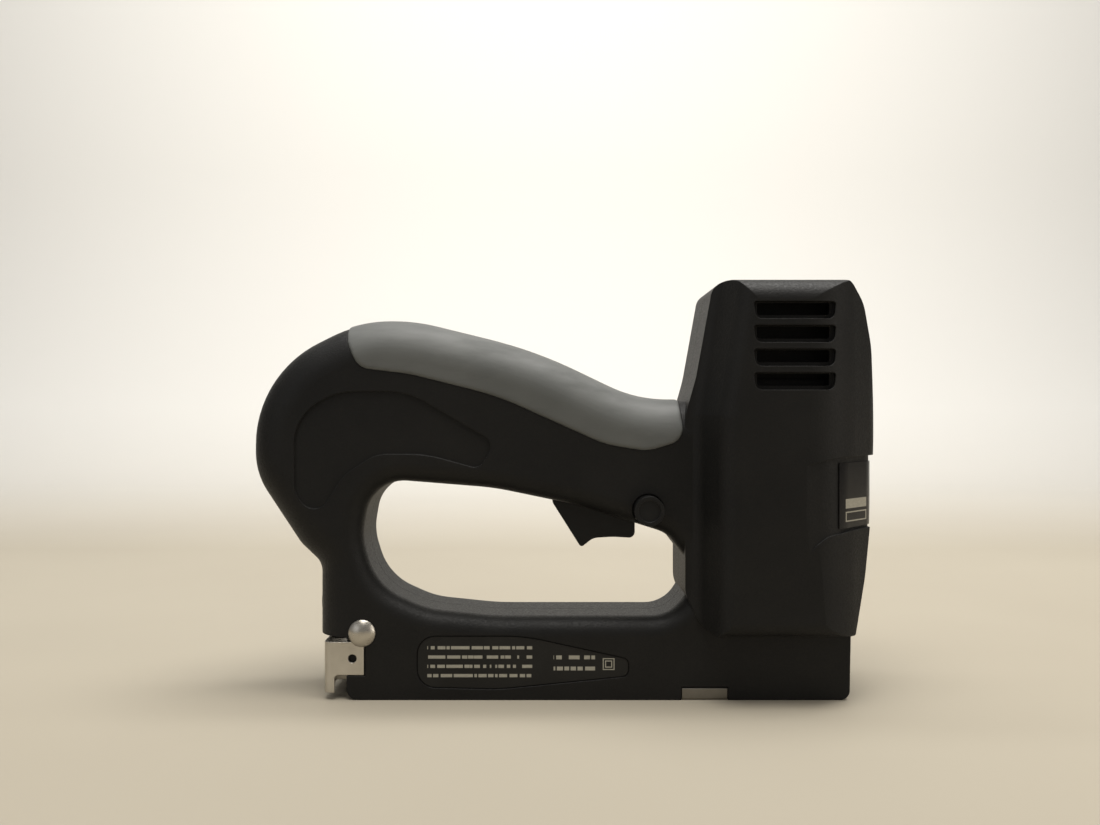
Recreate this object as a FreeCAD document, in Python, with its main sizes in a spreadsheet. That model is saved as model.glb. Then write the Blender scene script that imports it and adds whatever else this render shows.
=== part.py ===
import FreeCAD, Part
import math
import os
import re
from FreeCAD import Placement, Rotation, Vector

# Corded electric stapler. +X points to the nose, +Y to the tool's left side, +Z up.
# The origin lies under the middle of the tool, on the plane that its base rests on.

doc = FreeCAD.newDocument("electric_stapler")
sheet = doc.addObject("Spreadsheet::Sheet", "Sizes")

SIZES = [
    ("wall", 2.6, "housing wall"),
    ("loop_half_width", 17.5, "half width of handle, post and base"),
    ("head_half_width", 30.0, "half width of the head"),
    ("head_lean", 6.8, "forward lean of the head's rear face"),
    ("crown_radius", 12.0, "rounding along the top of the handle"),
    ("loop_edge_radius", 6.0, "rounding round the finger opening"),
    ("cushion_depth", 2.2, "soft grip below the housing surface"),
    ("cushion_proud", 0.5, "soft grip above the housing surface"),
    ("recess_depth", 0.8, "shallow recess on the handle sides"),
    ("label_recess", 0.7, "recess for the rating label"),
    ("label_sheet", 0.4, "thickness of a label"),
    ("band_depth", 1.4, "recess of the front band"),
    ("vent_width", 26.0, "ventilation slot length"),
    ("vent_height", 5.4, "ventilation slot height"),
    ("vent_pitch", 7.4, "ventilation slot spacing"),
    ("vent_depth", 3.4, "depth of a ventilation pocket"),
    ("screw_shank", 1.4, "case screw shank radius"),
    ("screw_head", 2.7, "case screw head radius"),
    ("boss_radius", 3.4, "screw boss radius"),
    ("low_boss_radius", 2.3, "radius of the screw bosses in the base"),
    ("drive_axis_x", 78.0, "solenoid axis"),
    ("drive_stroke", 16.0, "travel of the plunger"),
    ("plunger_radius", 9.0, "plunger radius"),
    ("plunger_bottom", 62.0, "lower end of the resting plunger"),
    ("plunger_top", 126.0, "upper end of the resting plunger"),
    ("plunger_flange", 11.8, "radius of the plunger head"),
    ("flange_depth", 3.0, "thickness of the plunger head"),
    ("coil_bore", 9.4, "bore of the bobbin"),
    ("tube_wall", 1.0, "wall of the bobbin tube"),
    ("coil_radius", 14.1, "outer radius of the winding"),
    ("bobbin_radius", 14.7, "outer radius of the bobbin flanges"),
    ("bobbin_flange", 2.0, "thickness of the bobbin flanges"),
    ("yoke_bottom", 52.0, "lower face of the yoke"),
    ("yoke_height", 48.0, "height of the yoke"),
    ("yoke_half_width", 19.0, "half width of the yoke"),
    ("yoke_plate", 4.0, "thickness of the yoke plates"),
    ("yoke_length", 30.0, "length of the yoke along X"),
    ("blade_back", 84.2, "rear face of the driver blade"),
    ("blade_sheet", 1.2, "thickness of the driver blade"),
    ("blade_width", 10.0, "width of the driver blade"),
    ("blade_bottom", 17.2, "lower end of the resting blade"),
    ("blade_top", 70.0, "upper end of the blade"),
    ("nose_top", 38.0, "upper end of the nose plates"),
    ("nose_bottom", 0.8, "lower end of the nose plates"),
    ("nose_width", 18.0, "width of the nose plates"),
    ("nose_sheet", 1.5, "thickness of the nose plates"),
    ("channel_half", 7.0, "outer half width of the magazine channel"),
    ("channel_top", 18.0, "upper face of the magazine channel"),
    ("channel_rear", -64.0, "rear end of the magazine channel"),
    ("channel_front", 82.0, "front end of the magazine channel"),
    ("channel_sheet", 1.0, "sheet of the magazine channel"),
    ("rail_half", 4.7, "outer half width of the staple rail"),
    ("rail_top", 15.4, "upper face of the staple rail"),
    ("rail_bottom", 3.4, "lower edge of the staple rail"),
    ("rail_front", 83.6, "front end of the staple rail"),
    ("cap_rear", -77.0, "rear face of the magazine end cap"),
    ("cap_half", 17.4, "half width of the magazine end cap"),
    ("cap_sheet", 1.0, "sheet of the magazine end cap"),
    ("rod_radius", 1.5, "guide rod radius"),
    ("rod_height", 8.6, "height of the guide rod axis"),
    ("pin_radius", 2.5, "cross pin radius"),
    ("trigger_half", 6.0, "half width of the trigger"),
    ("trigger_pin_x", 19.0, "trigger pin axis"),
    ("trigger_pin_z", 64.5, "trigger pin axis height"),
    ("trigger_pin_radius", 1.5, "trigger pin radius"),
    ("running_gap", 0.05, "radial clearance of a running fit"),
    ("lock_x", 28.0, "lock bolt axis"),
    ("lock_z", 61.4, "lock bolt axis height"),
    ("lock_radius", 4.8, "lock bolt radius"),
    ("lock_waist", 2.0, "lock bolt waist radius"),
    ("gland_z", 30.0, "cord gland axis height"),
    ("gland_bore", 4.0, "bore of the cord gland"),
    ("lead_radius", 0.9, "outer radius of an internal lead"),
    ("board_face", 5.0, "component side of the circuit board"),
    ("board_sheet", 1.6, "thickness of the circuit board"),
]

for row, (alias, number, note) in enumerate(SIZES, start=1):
    sheet.set("A%d" % row, note)
    sheet.set("B%d" % row, str(number))
    sheet.setAlias("B%d" % row, alias)
doc.recompute()

WORD = re.compile(r"[a-z][a-z_]*[a-z]")
FINISHED = []


def size(alias):
    """One driving dimension, read back from the sheet."""
    return float(sheet.get(alias))


def bind(thing, field, formula):
    """Tie a property to the sheet, or set it when the formula is a plain number."""
    if isinstance(formula, str):
        thing.setExpression(field, WORD.sub(lambda word: "Sizes." + word.group(0), formula))
    else:
        thing.setExpression(field, str(formula))


def finish(thing, label):
    """Name a sub-part and put it in the list of files to write."""
    thing.Label = label
    FINISHED.append(thing)
    return thing


# --- outlines -------------------------------------------------------------------------------

def rounded(points):
    """Edges of a closed outline of (a, b, radius) corners, in a flat plane."""
    count = len(points)
    starts = []
    ends = []
    arcs = []
    for index in range(count):
        before = Vector(points[index - 1][0], points[index - 1][1], 0)
        corner = Vector(points[index][0], points[index][1], 0)
        after = Vector(points[(index + 1) % count][0], points[(index + 1) % count][1], 0)
        radius = points[index][2]
        inward = (before - corner).normalize()
        outward = (after - corner).normalize()
        half = inward.getAngle(outward) / 2
        if radius <= 0 or abs(half - math.pi / 2) < 1e-4:
            starts.append(corner)
            ends.append(corner)
            arcs.append(None)
            continue
        run = radius / math.tan(half)
        middle = (inward + outward).normalize()
        near = corner + middle * (radius / math.sin(half) - radius)
        starts.append(corner + inward * run)
        ends.append(corner + outward * run)
        arcs.append(near)
    edges = []
    for index in range(count):
        if arcs[index] is not None:
            edges.append(Part.Arc(starts[index], arcs[index], ends[index]))
        following = (index + 1) % count
        if (starts[following] - ends[index]).Length > 1e-6:
            edges.append(Part.LineSegment(ends[index], starts[following]))
    return edges


def plate(points, grow=0.0):
    """Flat face of a rounded outline, grown or shrunk evenly."""
    face = Part.Face(Part.Wire([edge.toShape() for edge in rounded(points)]))
    if grow:
        face = face.makeOffset2D(grow, 0)
    return face


def side_slab(points, low, high, grow=0.0):
    """Outline in X and Z, given thickness from Y = low to Y = high."""
    face = plate(points, grow)
    face.rotate(Vector(0, 0, 0), Vector(1, 0, 0), 90)
    face.translate(Vector(0, high, 0))
    return face.extrude(Vector(0, low - high, 0))


def plan_slab(points, low, high, grow=0.0):
    """Outline in X and Y, given height from Z = low to Z = high."""
    face = plate(points, grow)
    face.translate(Vector(0, 0, low))
    return face.extrude(Vector(0, 0, high - low))


def front_slab(points, low, high, grow=0.0):
    """Outline in Y and Z, given length from X = low to X = high."""
    face = plate(points, grow)
    face.rotate(Vector(0, 0, 0), Vector(1, 1, 1), 120)
    face.translate(Vector(low, 0, 0))
    return face.extrude(Vector(high - low, 0, 0))


def brick(x_low, x_high, y_low, y_high, z_low, z_high):
    """Plain block between two opposite corners."""
    corner = Vector(x_low, y_low, z_low)
    return Part.makeBox(x_high - x_low, y_high - y_low, z_high - z_low, corner)


def pair(x_low, x_high, y_low, y_high, z_low, z_high):
    """The same block on the left and on the right side."""
    left = brick(x_low, x_high, y_low, y_high, z_low, z_high)
    return left.fuse(brick(x_low, x_high, -y_high, -y_low, z_low, z_high))


def across(x, z, radius, low, high):
    """Round bar along Y."""
    return Part.makeCylinder(radius, high - low, Vector(x, low, z), Vector(0, 1, 0))


def coil(radius, wire, length, turns):
    """Round-wire spring along Z, made of tilted half turns that meet square to Y."""
    halves = int(round(turns * 2))
    rise = length / halves
    faces = []
    for index in range(halves + 1):
        side = 1 if index % 2 == 0 else -1
        start = Vector(side * radius, 0, index * rise)
        ring = Part.makeCircle(wire / 2, start, Vector(0, 1, 0))
        if index in (0, halves):
            faces.append(Part.Face(Part.Wire(ring)))
        if index < halves:
            centre = Vector(0, 0, (index + 0.5) * rise)
            arm = start - centre
            faces.append(ring.revolve(centre, arm.cross(Vector(0, side, 0)), 180))
    shell = Part.makeShell(faces)
    shell.sewShape()
    return Part.makeSolid(shell)


# --- parametric building blocks -----------------------------------------------------------------

def block(name, x, y, z, length, width, height):
    """Box primitive whose corner and sides follow the sheet."""
    thing = doc.addObject("Part::Box", name)
    for field, formula in (
        ("Length", length), ("Width", width), ("Height", height),
        ("Placement.Base.x", x), ("Placement.Base.y", y), ("Placement.Base.z", z),
    ):
        bind(thing, field, formula)
    return thing


TURN = {
    "Z": Rotation(),
    "X": Rotation(Vector(0, 1, 0), 90),
    "Y": Rotation(Vector(1, 0, 0), -90),
}


def rod(name, x, y, z, radius, length, axis="Z"):
    """Cylinder primitive from a start point along an axis."""
    thing = doc.addObject("Part::Cylinder", name)
    thing.Placement = Placement(Vector(), TURN[axis])
    for field, formula in (
        ("Radius", radius), ("Height", length),
        ("Placement.Base.x", x), ("Placement.Base.y", y), ("Placement.Base.z", z),
    ):
        bind(thing, field, formula)
    return thing


def join(name, things):
    thing = doc.addObject("Part::MultiFuse", name)
    thing.Shapes = things
    return thing


def cut(name, base, tool):
    thing = doc.addObject("Part::Cut", name)
    thing.Base = base
    thing.Tool = tool
    return thing


def padded(label, role, outlines, length, start=0.0, both=False):
    """Body with one sketch on an origin plane and one pad whose length follows the sheet."""
    body = doc.addObject("PartDesign::Body", label)
    plane = [item for item in body.Origin.OriginFeatures if item.Role == role][0]
    sketch = body.newObject("Sketcher::SketchObject", label + "_outline")
    sketch.AttachmentSupport = (plane, [""])
    sketch.MapMode = "FlatFace"
    bind(sketch, "AttachmentOffset.Base.z", start)
    for outline in outlines:
        sketch.addGeometry(rounded(outline), False)
    pad = body.newObject("PartDesign::Pad", label + "_pad")
    pad.Profile = sketch
    bind(pad, "Length", length)
    if both:
        pad.SideType = "Symmetric"
    body.Tip = pad
    return body


def hole(body, name, role, circles, length, start=0.0, both=False):
    """Pocket of round holes, added to a body."""
    plane = [item for item in body.Origin.OriginFeatures if item.Role == role][0]
    sketch = body.newObject("Sketcher::SketchObject", name + "_outline")
    sketch.AttachmentSupport = (plane, [""])
    sketch.MapMode = "FlatFace"
    bind(sketch, "AttachmentOffset.Base.z", start)
    for a, b, radius in circles:
        sketch.addGeometry(Part.Circle(Vector(a, b, 0), Vector(0, 0, 1), radius), False)
    pocket = body.newObject("PartDesign::Pocket", name)
    pocket.Profile = sketch
    bind(pocket, "Length", length)
    if both:
        pocket.SideType = "Symmetric"
    body.Tip = pocket
    doc.recompute()
    return pocket


def solid_feature(label, shape, base=Vector(), turn=Rotation()):
    """Free-form sub-part, placed after its shape is set."""
    thing = doc.addObject("Part::Feature", label)
    thing.Shape = shape
    thing.Placement = Placement(base, turn)
    return finish(thing, label)


# --- housing outlines ---------------------------------------------------------------------------

LOOP_OUTLINE = [
    (-69.5, 0.0, 3.8), (93.0, 0.0, 3.2), (93.4, 22.0, 0.0), (92.6, 24.0, 0.0), (92.6, 96.8, 0.0),
    (25.0, 96.8, 45.0), (-9.1, 113.2, 150.0), (-48.6, 122.9, 62.0), (-67.2, 122.9, 44.0),
    (-101.7, 105.7, 38.0), (-101.7, 72.6, 24.0), (-86.4, 49.4, 15.0), (-79.6, 43.0, 6.0),
    (-79.6, 20.2, 0.0), (-69.5, 20.2, 0.0),
]

FINGER_OPENING = [
    (-22.0, 26.3, 90.0), (36.0, 26.3, 12.0), (44.6, 40.0, 9.0), (34.5, 53.4, 10.0),
    (6.0, 62.4, 60.0), (-22.0, 68.2, 80.0), (-62.0, 71.4, 12.5),
    (-65.3, 52.0, 20.0), (-60.5, 36.0, 20.0), (-44.0, 28.6, 30.0),
]

HEAD_SIDE = [
    (46.0, 22.2, 7.0), (93.3, 22.2, 0.8), (97.6, 40.0, 40.0), (99.9, 56.0, 60.0),
    (102.4, 88.0, 60.0), (100.6, 114.0, 30.0), (97.0, 128.0, 12.0), (91.0, 135.0, 5.0),
    (49.0, 135.0, 5.0), (43.4, 104.0, 40.0), (40.0, 92.0, 20.0), (40.0, 34.0, 10.0),
]

HEAD_PLAN = [
    (36.0, -16.5, 1.0), (44.0, -17.6, 6.0), (51.6, -30.0, 8.0), (86.6, -30.0, 22.0),
    (102.8, -13.5, 11.0), (102.8, 13.5, 11.0), (86.6, 30.0, 22.0), (51.6, 30.0, 8.0),
    (44.0, 17.6, 6.0), (36.0, 16.5, 1.0),
]

HEAD_FRONT = [
    (-29.4, 22.2, 5.0), (29.4, 22.2, 5.0), (30.0, 60.0, 0.0), (30.0, 135.0, 7.0),
    (-30.0, 135.0, 7.0), (-30.0, 60.0, 0.0),
]

BAND_PLAN = [
    (30.0, -32.0, 0.0), (70.0, -32.0, 0.0), (76.0, -30.0, 6.0), (86.4, -28.3, 16.0),
    (101.2, -13.0, 10.0), (101.2, 13.0, 10.0), (86.4, 28.3, 16.0), (76.0, 30.0, 6.0),
    (70.0, 32.0, 0.0), (30.0, 32.0, 0.0),
]

BAND_SIDE = [
    (72.0, 75.4, 0.0), (80.4, 77.4, 8.0), (88.0, 78.9, 10.0), (120.0, 79.4, 0.0),
    (120.0, 56.4, 0.0), (91.6, 55.6, 10.0), (83.0, 54.2, 6.0), (78.6, 51.0, 4.0),
    (76.4, 47.0, 0.0), (72.0, 46.0, 0.0),
]

CUSHION_SIDE = [
    (-71.5, 130.0, 0.0), (-69.6, 115.6, 3.0), (-65.6, 107.3, 6.0), (-49.0, 105.3, 60.0),
    (-20.8, 98.2, 90.0), (14.0, 82.6, 30.0), (28.0, 80.3, 16.0), (39.4, 84.0, 5.0),
    (38.6, 97.0, 3.0), (36.0, 130.0, 0.0),
]

COMMA_RECESS = [
    (-86.4, 66.0, 9.0), (-79.0, 58.8, 5.0), (-70.6, 72.5, 14.0), (-60.0, 79.4, 12.0),
    (-44.0, 79.4, 40.0), (-26.6, 74.6, 3.6), (-21.4, 83.2, 4.0), (-50.0, 99.8, 24.0),
    (-72.0, 99.8, 22.0), (-86.6, 92.0, 16.0),
]

LABEL_RECESS = [
    (-46.8, 4.0, 6.0), (-20.0, 3.4, 60.0), (21.8, 7.6, 2.4), (21.8, 13.4, 2.4),
    (-12.0, 20.8, 60.0), (-46.8, 20.8, 6.0),
]

CASE_SCREWS = [(-74.0, 52.5), (-93.0, 84.0), (-26.0, 75.5), (34.5, 73.5), (59.0, 94.5),
               (91.2, 43.5), (-36.0, 21.2), (30.0, 21.2)]

BOARD_SCREWS = [(-79.5, 85.0), (-42.0, 85.0)]


def long_edges(body, half_width, wanted):
    """Edges on the two flat sides whose middle passes the test."""
    found = []
    for edge in body.Edges:
        box = edge.BoundBox
        if box.YLength < 0.01 and abs(abs(box.YMin) - half_width) < 0.01:
            middle = edge.valueAt((edge.FirstParameter + edge.LastParameter) / 2)
            if wanted(middle):
                found.append(edge)
    return found


def round_opening(middle):
    return -66 < middle.x < 46 and 23.7 < middle.z < 73.5


def on_handle(middle):
    return middle.z > 46 and middle.x < 80 and not round_opening(middle)


def loop_body(inset):
    """Handle, post and base as one block, pierced by the finger opening."""
    half = size("loop_half_width") - inset
    outside = side_slab(LOOP_OUTLINE, -half, half, -inset)
    outside = outside.makeFillet(size("crown_radius") - inset, long_edges(outside, half, on_handle))
    pierced = brick(-150, 150, -half, half, -50, 180)
    pierced = pierced.cut(side_slab(FINGER_OPENING, -half - 1, half + 1, inset))
    edges = long_edges(pierced, half, round_opening)
    pierced = pierced.makeFillet(size("loop_edge_radius") - inset, edges)
    return outside.common(pierced)


def head_column(inset):
    """Plan outline, upright to the grip and leaning forward above it."""
    upright = plan_slab(HEAD_PLAN, 10, 150, -inset)
    base = plate(HEAD_PLAN, -inset)
    base.translate(Vector(0, 0, 92))
    lean = Vector(size("head_lean"), 0, 45)
    leaning = base.extrude(lean).common(upright)
    return plan_slab(HEAD_PLAN, 10, 92, -inset).fuse(leaning)


def head_body(inset):
    """Boxy head where its three outlines meet."""
    plan = head_column(inset)
    side = side_slab(HEAD_SIDE, -40, 40, -inset)
    front = front_slab(HEAD_FRONT, 0, 120, -inset)
    body = plan.common(side).common(front)
    band = side_slab(BAND_SIDE, -40, 40).cut(plan_slab(BAND_PLAN, 0, 160, -max(inset - 1.0, 0.0)))
    return body.cut(band)


def housing_block(inset):
    return loop_body(inset).fuse(head_body(inset)).removeSplitter()


OUTER = housing_block(0.0)
CAVITY = housing_block(size("wall"))


# --- soft grip, labels ----------------------------------------------------------------------------

def handle_hull(grow):
    """Upper part of the handle, grown evenly, with its rounded crown."""
    outline = [(92.6, 60.0, 0.0)] + LOOP_OUTLINE[4:10] + [(-101.7, 60.0, 0.0)]
    half = size("loop_half_width") + grow
    hull = side_slab(outline, -half, half, grow)
    edges = long_edges(hull, half, lambda middle: middle.z > 84)
    return hull.makeFillet(size("crown_radius") + grow, edges)


def grip_shape():
    """Saddle over the top of the handle, a little proud of the plastic."""
    region = side_slab(CUSHION_SIDE, -30, 30)
    outer = handle_hull(size("cushion_proud")).common(region)
    return outer.cut(loop_body(size("cushion_depth"))).cut(head_body(-0.3))


def label_plate():
    """Blank rating label in its recess on the right side of the base."""
    face = size("loop_half_width") - size("label_recess") + 0.02
    return side_slab(LABEL_RECESS, -face - size("label_sheet"), -face, -0.35)


def front_plate():
    """Blank gloss panel that wraps the recessed band of the head."""
    outline = [
        (86.9, 56.4, 0.0), (120.0, 57.0, 0.0), (120.0, 77.4, 0.0), (86.9, 77.0, 0.0),
    ]
    skin = plan_slab(BAND_PLAN, 50, 85, size("label_sheet") + 0.03)
    skin = skin.common(side_slab(HEAD_SIDE, -40, 40, size("label_sheet") + 0.03))
    core = plan_slab(BAND_PLAN, 40, 95, 0.03).common(side_slab(HEAD_SIDE, -45, 45, 0.03))
    return skin.cut(core).common(side_slab(outline, -40, 40))


# --- housing halves -------------------------------------------------------------------------------

def screw_towers():
    """Towers round the case screws; the low ones hang from the floor of the opening."""
    lumps = []
    for x, z in CASE_SCREWS:
        low = z < 25
        lumps.append(across(x, z, size("low_boss_radius") if low else size("boss_radius"), -30, 30))
        if low:
            lumps.append(pair(x - 1, x + 1, 0, 16, z, z + 8))
    return lumps


def drive_seats():
    """Shelves that hold the solenoid and its bumpers, and the baffle behind the vents."""
    under_yoke = pair(60, 96.5, 12.5, 30, 48.2, 51.7)
    over_yoke = pair(62, 93, 14.5, 30, 100.4, 103.4)
    beside_plunger = pair(56, 89, 25.4, 30, 97, 131)
    under_lower_bumper = pair(66, 90, 9.6, 30, 34.6, 38.0)
    behind_yoke = pair(58.8, 61.6, 15.3, 30, 60, 96)
    vent_baffle = pair(48, 93, 14.4, 16.0, 100.4, 131)
    return [under_yoke, over_yoke, beside_plunger, under_lower_bumper, behind_yoke, vent_baffle]


def control_seats():
    """Ribs that hold the magazine channel, the switch, the trigger and the board."""
    lumps = [pair(x, x + 2, 7.4, 17, 1, 25) for x in (-52, -12, 14, 58)]
    switch_rear = pair(-11, -8, 3.6, 18, 70, 90)
    switch_front = pair(0, 3, 3.6, 18, 78, 90)
    spring_shelf = pair(2, 14, 0, 18, 82.2, 84.6)
    trigger_boss = across(size("trigger_pin_x"), size("trigger_pin_z"), 3.4, -18, 18)
    lumps.extend([switch_rear, switch_front, spring_shelf, trigger_boss])
    board_back = size("board_face") + size("board_sheet") + 0.1
    for x, z in BOARD_SCREWS:
        lumps.append(across(x, z, 3.0, board_back, 18))
    return lumps


def vent(top):
    """One louvre on each side: a dished pocket and a slit under its upper lip."""
    left = 59.6
    right = left + size("vent_width")
    low = top - size("vent_height")
    pocket = [(left + 0.6, low, 2.4), (right - 0.6, low, 2.4), (right, top, 0.9), (left, top, 0.9)]
    slit = [(left + 1.6, low + 1.3, 0.9), (right - 1.6, low + 1.3, 0.9),
            (right - 1.6, top - 0.3, 0.5), (left + 1.6, top - 0.3, 0.5)]
    face = size("head_half_width")
    return [
        side_slab(pocket, -face - 5, -face + size("vent_depth")),
        side_slab(pocket, face - size("vent_depth"), face + 5),
        side_slab(slit, -face - 5, -20),
        side_slab(slit, 20, face + 5),
    ]


def magazine_room():
    """Slots for the staple channel, its ears, the end cap, the nose and the front clip."""
    rail_slot = brick(-72, 82.6, -7.4, 7.4, -1, 19.0)
    ear_room = brick(-69.2, -58, -7.4, 7.4, 18, 28)
    cap_sides = pair(-72, -63.4, 16.2, 20, 7.8, 19.6)
    nose_slot = brick(80, 88.0, -9.6, 9.6, -1, 26.0)
    clip_sides = pair(38.6, 53.8, 16.2, 20, -1, 4.2)
    clip_floor = brick(38.6, 53.8, -20, 20, -1, 1.1)
    cross_bore = across(-64.5, 21.6, size("pin_radius") + size("running_gap"), -40, 40)
    return [rail_slot, ear_room, cap_sides, nose_slot, clip_sides, clip_floor, cross_bore]


def control_room():
    """Room for the trigger, the switch and the lock bolt."""
    trigger_slot = brick(-4.6, 25.6, -6.4, 6.4, 50, 74.5)
    lever_slot = brick(-12, 7.5, -3.5, 3.5, 70, 88)
    switch_room = brick(-9.5, 1.5, -3.6, 3.6, 76, 90)
    lock_bore = across(size("lock_x"), size("lock_z"), size("lock_radius") + 0.35, -40, 40)
    pin_bore = across(size("trigger_pin_x"), size("trigger_pin_z"),
                      size("trigger_pin_radius") + size("running_gap"), -14.2, 14.2)
    return [trigger_slot, lever_slot, switch_room, lock_bore, pin_bore]


def gland_room():
    """Stepped hole for the cord gland in the rear of the post."""
    forward = Vector(1, 0, 0)
    neck = Part.makeCylinder(5.8, 12, Vector(-86, 0, size("gland_z")), forward)
    inner_step = Part.makeCylinder(7.0, 5, Vector(-77.0, 0, size("gland_z")), forward)
    outer_step = Part.makeCylinder(6.9, 5, Vector(-83.4, 0, size("gland_z")), forward)
    return [neck, inner_step, outer_step]


def surface_recesses():
    """Shallow recess on each handle side and the bed of the rating label."""
    cuts = []
    for side in (-1, 1):
        face = side * size("loop_half_width")
        limits = sorted((face - side * size("recess_depth"), face + side * 4))
        cuts.append(side_slab(COMMA_RECESS, limits[0], limits[1]))
    label_face = -size("loop_half_width") + size("label_recess")
    cuts.append(side_slab(LABEL_RECESS, label_face - 4, label_face))
    return cuts


def openings():
    """Everything cut from both halves."""
    cuts = magazine_room() + control_room() + gland_room() + surface_recesses()
    for number in range(4):
        cuts.extend(vent(127.6 - number * size("vent_pitch")))
    cuts.append(Part.makeCylinder(11.4, 12, Vector(size("drive_axis_x"), 0, 38.0)))
    return cuts


def screw_holes():
    """Pilot bores through both halves and head seats in the left half."""
    cuts = [across(x, z, 1.4, 0, 14.2) for x, z in BOARD_SCREWS]
    for x, z in CASE_SCREWS:
        seat = screw_seat(x, z)
        cuts.append(across(x, z, size("screw_shank") + 0.1, -11, 40))
        cuts.append(across(x, z, size("screw_head") + 0.3, seat, 40))
    return cuts


def screw_seat(x, z):
    """Depth, along Y, at which a screw head rests."""
    if x > 50:
        return size("head_half_width") - 9.0 if z > 60 else 13.0
    return size("loop_half_width") - 4.0


def grip_bed():
    """Room for the soft grip on the top of the handle."""
    room = side_slab(CUSHION_SIDE, -30, 30)
    return room.cut(loop_body(size("cushion_depth"))).cut(head_body(0.0))


def housing_shell():
    """Both halves in one piece, before they are parted."""
    shell = OUTER.cut(CAVITY)
    trim = housing_block(1.0)
    for lump in screw_towers() + drive_seats() + control_seats():
        shell = shell.fuse(lump.common(trim))
    for tool in openings() + screw_holes() + [grip_bed()]:
        shell = shell.cut(tool)
    return shell


SHELL = housing_shell()
solid_feature("right_housing", SHELL.common(brick(-200, 200, -60, 0, -10, 200)))
solid_feature("left_housing", SHELL.common(brick(-200, 200, 0, 60, -10, 200)))
solid_feature("grip_cushion", grip_shape())
solid_feature("rating_label", label_plate())
solid_feature("front_label", front_plate())


def case_screw(x, z):
    """Pan-head screw from the left side, tip in the right half."""
    seat = screw_seat(x, z)
    shank = across(x, z, size("screw_shank"), -9, seat + 0.1)
    head = across(x, z, size("screw_head"), seat + 0.1, seat + 2.3)
    cross = brick(x - 1.6, x + 1.6, seat + 1.1, seat + 4, z - 0.35, z + 0.35)
    cross = cross.fuse(brick(x - 0.35, x + 0.35, seat + 1.1, seat + 4, z - 1.6, z + 1.6))
    return shank.fuse(head).cut(cross)


solid_feature("case_screws", Part.makeCompound([case_screw(x, z) for x, z in CASE_SCREWS]))


# --- cord gland -----------------------------------------------------------------------------------

gland = join("gland_blank", [
    rod("gland_outer_flange", "-79.7", 0, "gland_z", 6.8, 1.2, "X"),
    rod("gland_neck", "-79", 0, "gland_z", 5.7, 4.4, "X"),
    rod("gland_inner_flange", "-76.9", 0, "gland_z", 6.6, 2.3, "X"),
])
gland_hole = rod("gland_hole", "-90", 0, "gland_z", "gland_bore", 20, "X")
finish(cut("cord_inlet_bush", gland, gland_hole), "cord_inlet_bush")


# --- solenoid -------------------------------------------------------------------------------------

yoke_block = block("yoke_block", "drive_axis_x - yoke_length / 2", "-yoke_half_width", "yoke_bottom",
                   "yoke_length", "2 * yoke_half_width", "yoke_height")
yoke_window = block("yoke_window", "drive_axis_x - yoke_length", "yoke_plate - yoke_half_width",
                    "yoke_bottom + yoke_plate", "2 * yoke_length",
                    "2 * (yoke_half_width - yoke_plate)", "yoke_height - 2 * yoke_plate")
yoke_bore = rod("yoke_bore", "drive_axis_x", 0, "yoke_bottom - 1", "coil_bore", "yoke_height + 2")
yoke = cut("solenoid_yoke", yoke_block, join("yoke_spaces", [yoke_window, yoke_bore]))
finish(yoke, "solenoid_yoke")

coil_low = "yoke_bottom + yoke_plate"
coil_height = "yoke_height - 2 * yoke_plate"
bobbin = join("bobbin_blank", [
    rod("bobbin_tube", "drive_axis_x", 0, coil_low, "coil_bore + tube_wall", coil_height),
    rod("bobbin_foot", "drive_axis_x", 0, coil_low, "bobbin_radius", "bobbin_flange"),
    rod("bobbin_brim", "drive_axis_x", 0, "yoke_bottom + yoke_height - yoke_plate - bobbin_flange",
        "bobbin_radius", "bobbin_flange"),
])
bobbin_hole = rod("bobbin_hole", "drive_axis_x", 0, "yoke_bottom", "coil_bore", "yoke_height")
finish(cut("coil_bobbin", bobbin, bobbin_hole), "coil_bobbin")

winding = rod("winding_blank", "drive_axis_x", 0, "yoke_bottom + yoke_plate + bobbin_flange",
              "coil_radius", "yoke_height - 2 * yoke_plate - 2 * bobbin_flange")
winding_hole = rod("winding_hole", "drive_axis_x", 0, "yoke_bottom", "coil_bore + tube_wall",
                   "yoke_height")
finish(cut("coil_winding", winding, winding_hole), "coil_winding")

plunger = join("plunger_blank", [
    rod("plunger_core", "drive_axis_x", 0, "plunger_bottom", "plunger_radius",
        "plunger_top - plunger_bottom"),
    rod("plunger_head", "drive_axis_x", 0, "plunger_top - flange_depth", "plunger_flange",
        "flange_depth"),
])
plunger_slot = block("plunger_slot", "blade_back - 0.05", -20, "plunger_bottom - 1",
                     "blade_sheet + 0.1", 40, "blade_top - plunger_bottom + 1.1")
plunger_hole = rod("plunger_hole", "drive_axis_x + 2", 0, "plunger_bottom + 4", 1.25, 12, "X")
finish(cut("plunger", plunger, join("plunger_spaces", [plunger_slot, plunger_hole])), "plunger")

blade = block("blade_blank", "blade_back", "-blade_width / 2", "blade_bottom", "blade_sheet",
              "blade_width", "blade_top - blade_bottom")
blade_hole = rod("blade_hole", "drive_axis_x", 0, "plunger_bottom + 4", 1.25, 12, "X")
finish(cut("driver_blade", blade, blade_hole), "driver_blade")
finish(rod("blade_pin", "drive_axis_x + 2.2", 0, "plunger_bottom + 4", 1.2, 6.4, "X"), "blade_pin")

spring_low = size("yoke_bottom") + size("yoke_height")
spring_room = size("plunger_top") - size("flange_depth") - spring_low
return_spring = coil(10.5, 1.0, spring_room - 1.2, 5.5)
solid_feature("return_spring", return_spring, Vector(size("drive_axis_x"), 0, spring_low + 0.6))

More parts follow.
